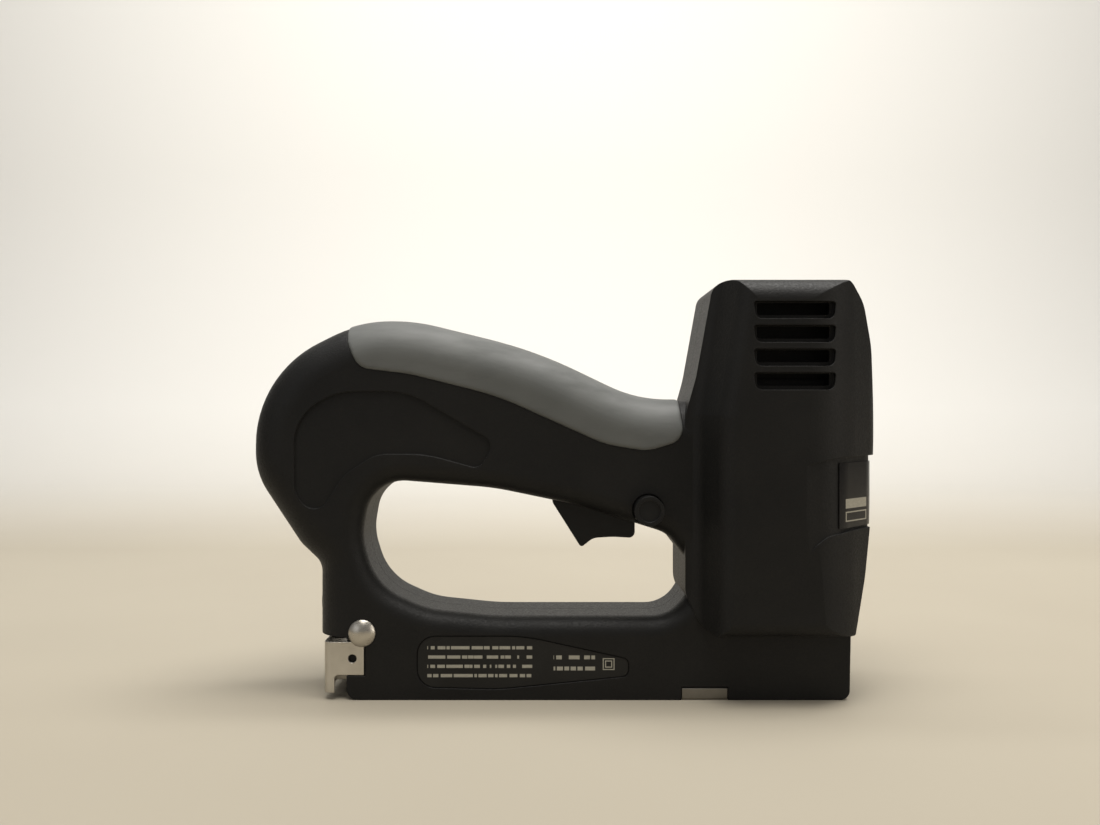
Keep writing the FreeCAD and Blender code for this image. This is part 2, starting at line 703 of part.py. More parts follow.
finish(rod("upper_bumper", "drive_axis_x", 0, "plunger_top + 0.3", 10.5, 5.9), "upper_bumper")
lower_blank = rod("lower_blank", "drive_axis_x", 0, "nose_top + 0.3", 11, 7)
lower_slot = block("lower_slot", "blade_back - 0.5", "-blade_width / 2 - 0.5", "nose_top",
                   "blade_sheet + 1", "blade_width + 1", 9)
finish(cut("lower_bumper", lower_blank, lower_slot), "lower_bumper")


# --- nose -----------------------------------------------------------------------------------------

front_blank = block("nose_front_blank", "blade_back + blade_sheet + 0.35", "-nose_width / 2",
                    "nose_bottom", "nose_sheet", "nose_width", "nose_top - nose_bottom")
front_port = rod("nose_front_port", "blade_back", 0, "nose_top - 6", 2.0, 6, "X")
finish(cut("nose_front_plate", front_blank, front_port), "nose_front_plate")

back_plate = block("nose_back_plate_web", "blade_back - 0.35 - nose_sheet", "-nose_width / 2",
                   "channel_top + 0.1", "nose_sheet", "nose_width",
                   "nose_top - channel_top - 0.1")
left_rail = block("nose_left_rail", "blade_back - 0.35 - nose_sheet", "blade_width / 2 + 0.35",
                  "channel_top + 0.1", "nose_sheet + blade_sheet + 0.7",
                  "nose_width / 2 - blade_width / 2 - 0.35", "nose_top - channel_top - 0.1")
right_rail = block("nose_right_rail", "blade_back - 0.35 - nose_sheet", "-nose_width / 2",
                   "channel_top + 0.1", "nose_sheet + blade_sheet + 0.7",
                   "nose_width / 2 - blade_width / 2 - 0.35", "nose_top - channel_top - 0.1")
finish(join("nose_back_plate", [back_plate, left_rail, right_rail]), "nose_back_plate")


# --- magazine -------------------------------------------------------------------------------------

def hat(half, low, top, sheet_thickness):
    """Closed outline of an upside-down U, seen along X."""
    inner = half - sheet_thickness
    ceiling = top - sheet_thickness
    return [
        (-half, low, 0.0), (-inner, low, 0.0), (-inner, ceiling, 0.3), (inner, ceiling, 0.3),
        (inner, low, 0.0), (half, low, 0.0), (half, top, 1.2), (-half, top, 1.2),
    ]


channel = padded("magazine_channel_strip", "YZ_Plane",
                 [hat(size("channel_half"), 2.2, size("channel_top"), size("channel_sheet"))],
                 "channel_front - channel_rear", "channel_rear")
ear_block = block("channel_ears", -68.4, "-channel_half", "channel_top - 2", 9,
                  "2 * channel_half", 11)
ear_gap = block("channel_ear_gap", -75, "channel_sheet - channel_half", "channel_top", 30,
                "2 * (channel_half - channel_sheet)", 12)
ear_gap_low = block("channel_ear_gap_low", -75, "channel_sheet - channel_half", 0, 30,
                    "2 * (channel_half - channel_sheet)", "channel_top - channel_sheet")
ear_hole = rod("channel_ear_hole", -64.5, -20, 21.6, "pin_radius + running_gap", 40, "Y")
channel_blank = join("channel_blank", [channel, ear_block])
channel_spaces = join("channel_spaces", [ear_gap, ear_gap_low, ear_hole])
finish(cut("magazine_channel", channel_blank, channel_spaces), "magazine_channel")

rail = padded("magazine_rail_strip", "YZ_Plane",
              [hat(size("rail_half"), size("rail_bottom"), size("rail_top"), 1.0)],
              "rail_front - cap_rear - cap_sheet", "cap_rear + cap_sheet")
rail_head = block("rail_head", "rail_front - 4.5", "0.5 - rail_half", "rail_bottom + 1", 4.5,
                  "2 * rail_half - 1", "rail_top - rail_bottom - 1.5")
rail_tail = block("rail_tail", "cap_rear + cap_sheet", "0.5 - rail_half", "rail_bottom + 1", 3,
                  "2 * rail_half - 1", "rail_top - rail_bottom - 1.5")
rod_room = rod("rod_room", "cap_rear + cap_sheet - 1", 0, "rod_height", "rod_radius + running_gap",
               "rail_front - cap_rear - cap_sheet", "X")
rail_blank = join("rail_blank", [rail, rail_head, rail_tail])
finish(cut("magazine_rail", rail_blank, rod_room), "magazine_rail")
finish(rod("guide_rod", "cap_rear + cap_sheet + 0.1", 0, "rod_height", "rod_radius",
           "rail_front - cap_rear - cap_sheet - 1.3", "X"), "guide_rod")

FOLLOWER_FRONT = 78.4
follower = padded("follower_sleeve", "YZ_Plane", [
    [(-5.75, 2.0, 0.4), (5.75, 2.0, 0.4), (5.75, 16.7, 0.8), (-5.75, 16.7, 0.8)],
    [(-5.05, 2.95, 0.0), (5.05, 2.95, 0.0), (5.05, 15.75, 0.3), (-5.05, 15.75, 0.3)],
], 14, FOLLOWER_FRONT - 14)
follower_web = block("follower_web", FOLLOWER_FRONT - 14, -3.3, 2.4, 14, 6.6, 11.4)
follower_bore = rod("follower_bore", FOLLOWER_FRONT - 20, 0, "rod_height", "rod_radius + 0.1", 30, "X")
finish(cut("follower", join("follower_blank", [follower, follower_web]), follower_bore), "follower")

follower_rear = FOLLOWER_FRONT - 14
spring_start = size("cap_rear") + size("cap_sheet") + 3.3
follower_spring = coil(2.55, 0.6, follower_rear - spring_start - 0.9, 44)
solid_feature("follower_spring", follower_spring,
              Vector(spring_start + 0.45, 0, size("rod_height")), TURN["X"])

cap_plan = [
    (size("cap_rear"), -size("cap_half"), 2.5), (-63.9, -size("cap_half"), 0.0),
    (-63.9, 1 - size("cap_half"), 0.0), (size("cap_rear") + 1, 1 - size("cap_half"), 1.5),
    (size("cap_rear") + 1, size("cap_half") - 1, 1.5), (-63.9, size("cap_half") - 1, 0.0),
    (-63.9, size("cap_half"), 0.0), (size("cap_rear"), size("cap_half"), 2.5),
]
cap_strip = padded("end_cap_strip", "XY_Plane", [cap_plan], 16.3, 2.4)
cap_notch = padded("end_cap_notch", "XZ_Plane", [[
    (-73.4, 0.0, 0.0), (-60.0, 0.0, 0.0), (-60.0, 8.1, 0.0), (-73.4, 8.1, 1.2),
]], 60, 0, True)
dimple = rod("end_cap_dimple", -67.6, "-cap_half - 1", 13.4, 1.4, "2 * cap_half + 2", "Y")
cap_tools = join("end_cap_tools", [cap_notch, dimple])
finish(cut("magazine_end_cap", cap_strip, cap_tools), "magazine_end_cap")


def dome(side):
    """Shallow rivet head on one side of the base."""
    ball_radius = 6.4
    face = side * (size("loop_half_width") + 0.05)
    centre = Vector(-64.5, face - side * 4.6, 21.6)
    ball = Part.makeSphere(ball_radius, centre)
    outside = brick(-80, -50, min(face, side * 30), max(face, side * 30), 0, 40)
    return ball.common(outside)


pin_bar = across(-64.5, 21.6, size("pin_radius"), -size("loop_half_width") - 0.2,
                 size("loop_half_width") + 0.2)
solid_feature("cross_pin", pin_bar.fuse(dome(-1)).fuse(dome(1)))

clip_outline = [
    (-17.4, 0.05, 0.8), (17.4, 0.05, 0.8), (17.4, 3.9, 0.4), (16.4, 3.9, 0.4),
    (16.4, 1.0, 0.3), (-16.4, 1.0, 0.3), (-16.4, 3.9, 0.4), (-17.4, 3.9, 0.4),
]
finish(padded("front_clip", "YZ_Plane", [clip_outline], 14.6, 38.9), "front_clip")


# --- trigger, lock and switch -----------------------------------------------------------------------

TRIGGER_SIDE = [
    (6.6, 47.8, 1.0), (10.6, 51.0, 5.0), (17.0, 51.4, 20.0), (24.6, 51.0, 2.0), (24.4, 68.6, 2.0),
    (4.6, 69.2, 1.0), (3.4, 71.5, 0.6), (0.6, 71.3, 0.6), (-2.9, 69.0, 1.5), (-3.0, 63.0, 3.0),
]
trigger = padded("trigger_body", "XZ_Plane", [TRIGGER_SIDE], "2 * trigger_half", 0, True)
hole(trigger, "trigger_bore", "XZ_Plane",
     [(size("trigger_pin_x"), size("trigger_pin_z"), size("trigger_pin_radius") + size("running_gap"))],
     40, 0, True)
finish(trigger, "trigger")
finish(rod("trigger_pin", "trigger_pin_x", -14, "trigger_pin_z", "trigger_pin_radius", 28, "Y"),
       "trigger_pin")
solid_feature("trigger_spring", coil(2.3, 0.5, 11.0, 7), Vector(9.5, 0, 70.3))

bolt = join("lock_blank", [
    rod("lock_waist_bar", "lock_x", -20, "lock_z", "lock_waist", 36, "Y"),
    rod("lock_near_end", "lock_x", -22.4, "lock_z", "lock_radius", 11.2, "Y"),
    rod("lock_far_end", "lock_x", 7.2, "lock_z", "lock_radius", 11.0, "Y"),
])
bolt_dishes = join("lock_dishes", [
    rod("lock_near_dish", "lock_x", -24, "lock_z", "lock_radius - 1.3", 2.3, "Y"),
    rod("lock_far_dish", "lock_x", 17.5, "lock_z", "lock_radius - 1.3", 2.0, "Y"),
])
finish(cut("lock_button", bolt, bolt_dishes), "lock_button")

switch_block = block("switch_block", -9.2, -3.3, 77, 10.4, 6.6, 9.6)
switch_foot = block("switch_foot", -13.8, -3.3, 77, 20.6, 6.6, 6)
finish(join("micro_switch", [switch_block, switch_foot]), "micro_switch")

LEVER = [(-12.4, 75.95, 0.0), (-11.6, 76.45, 0.0), (3.3, 72.15, 0.0), (3.1, 71.65, 0.0)]
lever_strip = padded("switch_lever_strip", "XZ_Plane", [LEVER], 3.6, 0, True)
lever_pivot = rod("switch_lever_pivot", -12, -2.4, 76.2, 0.6, 4.8, "Y")
finish(join("switch_lever", [lever_strip, lever_pivot]), "switch_lever")


# --- electronics ------------------------------------------------------------------------------------

board_outline = [(-84.0, 80.5, 2.0), (-38.0, 80.5, 2.0), (-38.0, 106.0, 2.0), (-84.0, 106.0, 4.0)]
board = padded("circuit_board", "XZ_Plane", [board_outline], "board_sheet",
               "-board_face - board_sheet")
hole(board, "board_holes", "XZ_Plane", [(-79.5, 85.0, 1.7), (-42.0, 85.0, 1.7)], 40, "-20", True)
finish(board, "circuit_board")


def board_screw(x, z):
    shank = across(x, z, 1.3, size("board_face") - 0.1, 14)
    return shank.fuse(across(x, z, 2.5, size("board_face") - 1.8, size("board_face") - 0.05))


solid_feature("board_screws", Part.makeCompound([board_screw(x, z) for x, z in BOARD_SCREWS]))
can = join("capacitor_blank", [
    rod("capacitor_can", -67, -1.2, 98.2, 6.0, 20, "X"),
    rod("capacitor_lead_a", -66, -1.2, 98.2, 0.6, 0.5, "Y"),
])
finish(can, "drive_capacitor")
thyristor = join("drive_thyristor", [
    block("thyristor_case", -60, 0.3, 84, 10, 4.5, 7.6),
    block("thyristor_tab", -60, 3.3, 82.4, 10, 1.5, 1.8),
])
finish(thyristor, "drive_thyristor")
terminals = cut("terminal_block", block("terminal_case", -81.5, -4.0, 91, 9, 8.9, 11),
                join("terminal_mouths", [
                    rod("terminal_mouth_a", -82, -1.6, 93.8, 1.3, 6, "X"),
                    rod("terminal_mouth_b", -82, -1.6, 99.0, 1.3, 6, "X"),
                ]))
finish(terminals, "terminal_block")


def lead(points, radius):
    """Round insulated wire along straight runs, with a ball at every bend."""
    wire = Part.makeSphere(radius, points[0])
    for start, end in zip(points, points[1:]):
        run = end - start
        wire = wire.fuse(Part.makeCylinder(radius, run.Length, start, run))
        wire = wire.fuse(Part.makeSphere(radius, end))
    return wire


def supply_lead(y, z):
    """From the gland up the post to one terminal."""
    return lead([
        Vector(-73.4, y, size("gland_z")), Vector(-70.6, y, size("gland_z") + 3),
        Vector(-69.2, y, 46), Vector(-69.2, y, 62), Vector(-86.0, y, 82),
        Vector(-86.0, y, z - 3), Vector(-84.0, y, z), Vector(-82.6, y, z),
    ], size("lead_radius"))


def coil_lead(y, z, side):
    """From the board forward through the handle to the coil."""
    return lead([
        Vector(-39.2, y, z), Vector(-32.0, y, z), Vector(24.0, y, z - 4), Vector(40.0, y, z - 8),
        Vector(56.0, side * 3.0, z - 10), Vector(62.9, side * 3.0, z - 10),
    ], size("lead_radius"))


solid_feature("supply_leads", Part.makeCompound([supply_lead(-2.6, 93.8), supply_lead(-0.4, 99.0)]))
solid_feature("coil_leads", Part.makeCompound([coil_lead(8.4, 95.0, 1), coil_lead(10.6, 94.2, -1)]))


# --- write ----------------------------------------------------------------------------------------

doc.recompute()
os.makedirs("parts", exist_ok=True)
for thing in doc.Objects:
    if "Invalid" in thing.State or "Error" in thing.State:
        raise RuntimeError("object %s did not compute: %s" % (thing.Name, thing.State))
for thing in FINISHED:
    shape = thing.Shape
    if shape.isNull() or not shape.isValid() or not shape.Solids:
        raise RuntimeError("sub-part %s has no sound solid" % thing.Label)
    shape.exportStep(os.path.join("parts", thing.Label + ".step"))
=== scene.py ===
import math

import bmesh
import bpy
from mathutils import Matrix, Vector


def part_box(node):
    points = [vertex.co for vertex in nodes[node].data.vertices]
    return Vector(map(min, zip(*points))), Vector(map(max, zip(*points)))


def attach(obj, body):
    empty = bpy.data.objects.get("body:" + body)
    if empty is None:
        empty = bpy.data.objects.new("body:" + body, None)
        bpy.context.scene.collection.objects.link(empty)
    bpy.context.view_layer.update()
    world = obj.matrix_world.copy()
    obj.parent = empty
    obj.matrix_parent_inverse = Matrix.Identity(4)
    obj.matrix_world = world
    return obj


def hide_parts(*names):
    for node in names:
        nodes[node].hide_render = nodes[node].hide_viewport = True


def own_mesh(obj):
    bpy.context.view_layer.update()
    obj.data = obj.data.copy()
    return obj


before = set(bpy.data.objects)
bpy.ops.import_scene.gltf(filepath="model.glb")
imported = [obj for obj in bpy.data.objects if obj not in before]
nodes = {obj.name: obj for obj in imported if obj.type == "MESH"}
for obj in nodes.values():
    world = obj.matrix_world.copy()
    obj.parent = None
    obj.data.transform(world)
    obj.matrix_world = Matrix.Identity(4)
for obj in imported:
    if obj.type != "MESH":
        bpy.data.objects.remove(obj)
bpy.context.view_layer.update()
scene = bpy.context.scene

MM = 0.001
X_AXIS, Z_AXIS = 0, 2
MIX_COLOUR_A, MIX_COLOUR_B, MIX_COLOUR_RESULT = 6, 7, 2   # sockets of a mix node set to colour

# Fine detail of the surfaces, in metres.
PLASTIC_CORNER = 0.0005
METAL_CORNER = 0.0003
SEAM_HALF_WIDTH = 0.00022
PRINT_EDGE = 0.00006
RING_EDGE = 0.00004

# Print that stands in for the real printing: x low, x high, z low, z high, in mm.
RATING_LEFT_ROWS = (-43.4, -9.5, 6.4, 18.4)
RATING_RIGHT_ROWS = (-2.6, 10.8, 8.4, 15.6)
RATING_SQUARE_CENTRE = (15.2, 11.6)
RATING_SQUARE_HALVES = (1.9, 1.15)
RATING_SQUARE_LINE = 0.32
PANEL_BAR = (89.4, 98.8, 62.6, 65.6)
PANEL_FRAME = (89.4, 98.8, 58.4, 61.6)
PANEL_FRAME_HOLE = (89.8, 98.4, 58.8, 61.2)
DASHES_PER_METRE = 900.0
ROW_OFFSET = 7.3
INK = (0.42, 0.40, 0.33)

CREASE_ANGLE = 32
GRIP_VOXEL = 0.55 * MM

# Backdrop, in metres: a floor, a quarter-round and a wall.
FLOOR_HALF_WIDTH = 5.0
FLOOR_FRONT = -6.0
CURVE_START = 0.9
CURVE_RADIUS = 0.5
CURVE_STEPS = 12
WALL_TOP = 2.4
TABLE_DARK, TABLE_LIGHT = (0.37, 0.33, 0.26), (0.40, 0.36, 0.285)
WALL_COLOUR = (0.72, 0.70, 0.655)

TOOL_MIDDLE = (0.0, 0.0, 0.07)
SKY_COLOUR = (0.85, 0.83, 0.80, 1.0)
SKY_STRENGTH = 0.30
CAMERA_PLACE = (-3.75 * MM, -350 * MM, 92.9 * MM)
CAMERA_LENS = 33.7
CAMERA_SENSOR = 36.0


# --- shader nodes ---------------------------------------------------------------------------

def new_material(name):
    """Empty node material with a principled shader wired to its output."""
    mat = bpy.data.materials.new(name)
    mat.use_nodes = True
    tree = mat.node_tree
    tree.nodes.clear()
    out = tree.nodes.new("ShaderNodeOutputMaterial")
    shader = tree.nodes.new("ShaderNodeBsdfPrincipled")
    tree.links.new(shader.outputs["BSDF"], out.inputs["Surface"])
    return mat, tree, shader


def coordinates(tree, stretch=(1, 1, 1)):
    """Object coordinates, optionally stretched for a directional grain."""
    coord = tree.nodes.new("ShaderNodeTexCoord")
    mapping = tree.nodes.new("ShaderNodeMapping")
    mapping.inputs["Scale"].default_value = stretch
    tree.links.new(coord.outputs["Object"], mapping.inputs["Vector"])
    return mapping.outputs["Vector"]


def noise(tree, vector, scale, detail=3.0, rough=0.55):
    """Fractal noise from 0 to 1."""
    node = tree.nodes.new("ShaderNodeTexNoise")
    node.inputs["Scale"].default_value = scale
    node.inputs["Detail"].default_value = detail
    node.inputs["Roughness"].default_value = rough
    tree.links.new(vector, node.inputs["Vector"])
    return node.outputs["Fac"]


def ramp(tree, value, stops):
    """Colour that follows a value through (place, colour) stops."""
    node = tree.nodes.new("ShaderNodeValToRGB")
    elements = node.color_ramp.elements
    while len(elements) < len(stops):
        elements.new(0.5)
    for element, (place, colour) in zip(elements, stops):
        element.position = place
        element.color = (*colour, 1.0)
    tree.links.new(value, node.inputs["Fac"])
    return node.outputs["Color"]


def span(tree, value, low, high, out_low, out_high):
    """Maps the range low to high onto out_low to out_high, clamped."""
    node = tree.nodes.new("ShaderNodeMapRange")
    node.inputs["From Min"].default_value = low
    node.inputs["From Max"].default_value = high
    node.inputs["To Min"].default_value = out_low
    node.inputs["To Max"].default_value = out_high
    tree.links.new(value, node.inputs["Value"])
    return node.outputs["Result"]


def math_node(tree, operation, a, b=0.0):
    """Arithmetic on two sockets or numbers."""
    node = tree.nodes.new("ShaderNodeMath")
    node.operation = operation
    for socket, value in zip(node.inputs, (a, b)):
        if isinstance(value, (int, float)):
            socket.default_value = value
        else:
            tree.links.new(value, socket)
    return node.outputs["Value"]


def mix(tree, factor, a, b):
    """Blend of two colours, each given as a socket or a tuple."""
    node = tree.nodes.new("ShaderNodeMix")
    node.data_type = "RGBA"
    tree.links.new(factor, node.inputs["Factor"])
    for key, value in ((MIX_COLOUR_A, a), (MIX_COLOUR_B, b)):
        if isinstance(value, tuple):
            node.inputs[key].default_value = (*value, 1.0)
        else:
            tree.links.new(value, node.inputs[key])
    return node.outputs[MIX_COLOUR_RESULT]


def separate(tree, vector):
    """X, Y and Z of a vector."""
    node = tree.nodes.new("ShaderNodeSeparateXYZ")
    tree.links.new(vector, node.inputs["Vector"])
    return node.outputs


def soft_corners(tree, radius):
    """Normal that rounds every sharp corner a little, and 0 to 1 where it does so."""
    rounded = tree.nodes.new("ShaderNodeBevel")
    rounded.samples = 4
    rounded.inputs["Radius"].default_value = radius
    geometry = tree.nodes.new("ShaderNodeNewGeometry")
    product = tree.nodes.new("ShaderNodeVectorMath")
    product.operation = "DOT_PRODUCT"
    tree.links.new(rounded.outputs["Normal"], product.inputs[0])
    tree.links.new(geometry.outputs["Normal"], product.inputs[1])
    return rounded.outputs["Normal"], span(tree, product.outputs["Value"], 0.99, 0.88, 0.0, 1.0)


def bump(tree, shader, height, strength, distance, normal=None):
    """Drives the shader's normal from a height, on top of another normal if given."""
    node = tree.nodes.new("ShaderNodeBump")
    if normal:
        tree.links.new(normal, node.inputs["Normal"])
    node.inputs["Strength"].default_value = strength
    node.inputs["Distance"].default_value = distance
    tree.links.new(height, node.inputs["Height"])
    tree.links.new(node.outputs["Normal"], shader.inputs["Normal"])


# --- materials -------------------------------------------------------------------------------

def parting_line(tree, vector, half_width):
    """1 on the plane where the two housing halves meet, 0 elsewhere."""
    distance = math_node(tree, "ABSOLUTE", separate(tree, vector)["Y"])
    return span(tree, distance, half_width * 0.5, half_width, 1.0, 0.0)


def textured_plastic(name, dark, light, grain, depth, rough=(0.42, 0.62), edge_wear_and_highlight=0.25, seam=0.0):
    """Moulded plastic with a spark-eroded grain, faint tone drift, and edges lightened partly as
    rubbed wear and partly as painted highlight.
    """
    mat, tree, shader = new_material(name)
    vector = coordinates(tree)
    drift = noise(tree, vector, 38.0, 4.0)
    fine = noise(tree, vector, grain, 4.0, 0.6)
    tone = ramp(tree, drift, [(0.3, dark), (0.72, light)])
    normal, corner = soft_corners(tree, PLASTIC_CORNER)
    # Every sharp edge is lightened: partly rubbed wear, partly painted highlight.
    edge_wear_and_highlight_mask = math_node(tree, "MULTIPLY", corner, edge_wear_and_highlight)
    broken_wear_and_highlight = math_node(tree, "MULTIPLY", edge_wear_and_highlight_mask, noise(tree, vector, 420.0, 5.0, 0.7))
    rubbed_and_highlight_colour = tuple(min(1.0, c * 3.0 + 0.012) for c in light)
    worn_and_highlit = mix(tree, broken_wear_and_highlight, tone, rubbed_and_highlight_colour)
    scratch = noise(tree, coordinates(tree, (1.0, 1.0, 9.0)), 260.0, 6.0, 0.8)
    handled = span(tree, scratch, 0.62, 0.80, 0.0, 0.5)
    worn_and_highlit = mix(tree, handled, worn_and_highlit, tuple(c * 1.9 for c in light))
    height = fine
    if seam:
        line = parting_line(tree, vector, seam)
        worn_and_highlit = mix(tree, line, worn_and_highlit, tuple(c * 0.15 for c in dark))
        height = math_node(tree, "SUBTRACT", fine, math_node(tree, "MULTIPLY", line, 2.5))
    tree.links.new(worn_and_highlit, shader.inputs["Base Color"])
    tree.links.new(span(tree, fine, 0.3, 0.7, rough[0], rough[1]), shader.inputs["Roughness"])
    shader.inputs["Specular IOR Level"].default_value = 0.24
    bump(tree, shader, height, 0.55, depth, normal)
    return mat


def soft_rubber(name, dark, light):
    """Grey thermoplastic rubber: dusty bloom, fine matt skin and handling marks."""
    mat, tree, shader = new_material(name)
    vector = coordinates(tree)
    cloud = noise(tree, vector, 26.0, 5.0)
    skin = noise(tree, vector, 3200.0, 3.0)
    smear = noise(tree, coordinates(tree, (0.35, 1.0, 1.6)), 120.0, 5.0, 0.65)
    tone = ramp(tree, cloud, [(0.28, dark), (0.75, light)])
    marks = span(tree, smear, 0.52, 0.78, 0.0, 0.35)
    handled = mix(tree, marks, tone, tuple(c * 0.72 for c in dark))
    tree.links.new(handled, shader.inputs["Base Color"])
    tree.links.new(span(tree, smear, 0.3, 0.7, 0.52, 0.74), shader.inputs["Roughness"])
    shader.inputs["Sheen Weight"].default_value = 0.12
    bump(tree, shader, math_node(tree, "ADD", skin, smear), 0.35, 0.00006)
    return mat


def brushed_metal(name, dark, light, rough=(0.22, 0.42), stretch=(1, 14, 14), scale=160.0):
    """Rolled or ground metal: directional grain, tarnish clouds and fine scratches."""
    mat, tree, shader = new_material(name)
    vector = coordinates(tree, stretch)
    grain = noise(tree, vector, scale, 6.0, 0.7)
    cloud = noise(tree, coordinates(tree), 60.0, 4.0)
    tone = ramp(tree, cloud, [(0.3, dark), (0.7, light)])
    tree.links.new(tone, shader.inputs["Base Color"])
    shader.inputs["Metallic"].default_value = 1.0
    blend_rough = math_node(tree, "ADD", span(tree, grain, 0.3, 0.7, rough[0], rough[1]),
                            span(tree, cloud, 0.3, 0.7, -0.05, 0.08))
    tree.links.new(blend_rough, shader.inputs["Roughness"])
    normal, _ = soft_corners(tree, METAL_CORNER)
    bump(tree, shader, grain, 0.25, 0.00004, normal)
    return mat


def within(tree, value, low, high, soft=PRINT_EDGE):
    """1 between two limits with a soft edge, 0 outside."""
    rising = span(tree, value, low - soft, low + soft, 0.0, 1.0)
    falling = span(tree, value, high - soft, high + soft, 1.0, 0.0)
    return math_node(tree, "MULTIPLY", rising, falling)


def panel(tree, axes, area):
    """1 inside a rectangle in X and Z, given in mm."""
    x_low, x_high, z_low, z_high = area
    return math_node(tree, "MULTIPLY", within(tree, axes["X"], x_low * MM, x_high * MM),
                     within(tree, axes["Z"], z_low * MM, z_high * MM))


def ruled_rows(tree, axes, area, pitch):
    """Rows of plain dashes inside a rectangle, in place of printed lines."""
    z_low = area[2]
    height = math_node(tree, "SUBTRACT", axes["Z"], z_low * MM)
    place = math_node(tree, "DIVIDE", height, pitch * MM)
    row = math_node(tree, "FLOOR", place)
    bar = within(tree, math_node(tree, "FRACT", place), 0.32, 0.66, 0.03)
    joined = tree.nodes.new("ShaderNodeCombineXYZ")
    along = math_node(tree, "MULTIPLY", axes["X"], DASHES_PER_METRE)
    tree.links.new(along, joined.inputs["X"])
    tree.links.new(math_node(tree, "MULTIPLY", row, ROW_OFFSET), joined.inputs["Z"])
    dash = span(tree, noise(tree, joined.outputs["Vector"], 1.0, 0.0), 0.40, 0.43, 0.0, 1.0)
    rows = math_node(tree, "MULTIPLY", bar, dash)
    return math_node(tree, "MULTIPLY", rows, panel(tree, axes, area))


def square_ring(tree, axes, centre, half, line):
    """Outline of a square round a centre."""
    x, z = centre
    across = math_node(tree, "ABSOLUTE", math_node(tree, "SUBTRACT", axes["X"], x * MM))
    up = math_node(tree, "ABSOLUTE", math_node(tree, "SUBTRACT", axes["Z"], z * MM))
    reach = math_node(tree, "MAXIMUM", across, up)
    return within(tree, reach, (half - line) * MM, half * MM, RING_EDGE)


def rating_print(tree, axes):
    """Two blocks of plain dashes and a double square."""
    left = ruled_rows(tree, axes, RATING_LEFT_ROWS, 3.0)
    right = ruled_rows(tree, axes, RATING_RIGHT_ROWS, 3.6)
    marks = math_node(tree, "MAXIMUM", left, right)
    for half in RATING_SQUARE_HALVES:
        ring = square_ring(tree, axes, RATING_SQUARE_CENTRE, half, RATING_SQUARE_LINE)
        marks = math_node(tree, "MAXIMUM", marks, ring)
    return marks


def panel_print(tree, axes):
    """One plain bar over a thin frame on each cheek of the front panel."""
    bar = panel(tree, axes, PANEL_BAR)
    outline = math_node(tree, "SUBTRACT", panel(tree, axes, PANEL_FRAME),
                        panel(tree, axes, PANEL_FRAME_HOLE))
    return math_node(tree, "MAXIMUM", bar, outline)


def gloss_film(name, colour, rough, printed=None):
    """Film with a slightly wavy surface and light scuffs, and a print if one is given."""
    mat, tree, shader = new_material(name)
    vector = coordinates(tree)
    wave = noise(tree, vector, 90.0, 2.0)
    scuff = noise(tree, coordinates(tree, (1, 1, 5)), 700.0, 6.0, 0.75)
    tone = ramp(tree, wave, [(0.3, colour), (0.8, tuple(c * 1.5 + 0.002 for c in colour))])
    if printed:
        faded = math_node(tree, "MULTIPLY", printed(tree, separate(tree, vector)),
                          span(tree, scuff, 0.3, 0.8, 0.95, 0.55))
        tone = mix(tree, faded, tone, INK)
    tree.links.new(tone, shader.inputs["Base Color"])
    tree.links.new(span(tree, scuff, 0.45, 0.8, rough, rough + 0.3), shader.inputs["Roughness"])
    shader.inputs["Specular IOR Level"].default_value = 0.3
    bump(tree, shader, wave, 0.2, 0.0002)
    return mat


def wound_copper(name):
    """Enamelled copper in close turns, with painted shade darkening the grooves between turns."""
    mat, tree, shader = new_material(name)
    vector = coordinates(tree)
    wave = tree.nodes.new("ShaderNodeTexWave")
    wave.wave_type = "BANDS"
    wave.bands_direction = "Z"
    wave.inputs["Scale"].default_value = 520.0
    wave.inputs["Distortion"].default_value = 1.2
    tree.links.new(vector, wave.inputs["Vector"])
    # Darker in the wave troughs, where the bump makes grooves: painted shade between the turns.
    tone = ramp(tree, wave.outputs["Fac"], [(0.0, (0.16, 0.045, 0.015)), (0.7, (0.62, 0.24, 0.09))])
    tree.links.new(tone, shader.inputs["Base Color"])
    shader.inputs["Metallic"].default_value = 0.85
    tree.links.new(span(tree, noise(tree, vector, 300.0), 0.3, 0.7, 0.22, 0.4),
                   shader.inputs["Roughness"])
    bump(tree, shader, wave.outputs["Fac"], 0.8, 0.0002)
    return mat


BLACK = textured_plastic("shell_plastic", (0.0042, 0.0041, 0.0039), (0.0078, 0.0074, 0.0066),
                         1500.0, 0.00022, seam=SEAM_HALF_WIDTH)
CONTROL = textured_plastic("control_plastic_look", (0.005, 0.005, 0.005), (0.009, 0.009, 0.0088),
                           2300.0, 0.00008, (0.36, 0.5), 0.2)
BOBBIN = textured_plastic("bobbin_nylon", (0.62, 0.6, 0.52), (0.75, 0.73, 0.66), 1300.0,
                          0.00006, (0.4, 0.55), 0.0)
BOARD = textured_plastic("board_laminate", (0.02, 0.11, 0.045), (0.035, 0.17, 0.07), 900.0,
                         0.00005, (0.3, 0.42), 0.2)
BUMPER = soft_rubber("bumper_rubber_look", (0.016, 0.016, 0.016), (0.03, 0.03, 0.03))
GRIP = soft_rubber("grip_rubber_look", (0.070, 0.074, 0.070), (0.108, 0.112, 0.107))
SLEEVE = soft_rubber("lead_sleeve_look", (0.16, 0.06, 0.02), (0.26, 0.10, 0.035))
STEEL = brushed_metal("nickel_steel", (0.40, 0.375, 0.33), (0.58, 0.55, 0.49))
STEEL_UP = brushed_metal("ground_steel", (0.42, 0.41, 0.39), (0.62, 0.61, 0.58),
                         stretch=(14, 14, 1))
SPRING = brushed_metal("spring_wire", (0.30, 0.29, 0.28), (0.5, 0.48, 0.46), (0.18, 0.3),
                       (1, 1, 1), 500.0)
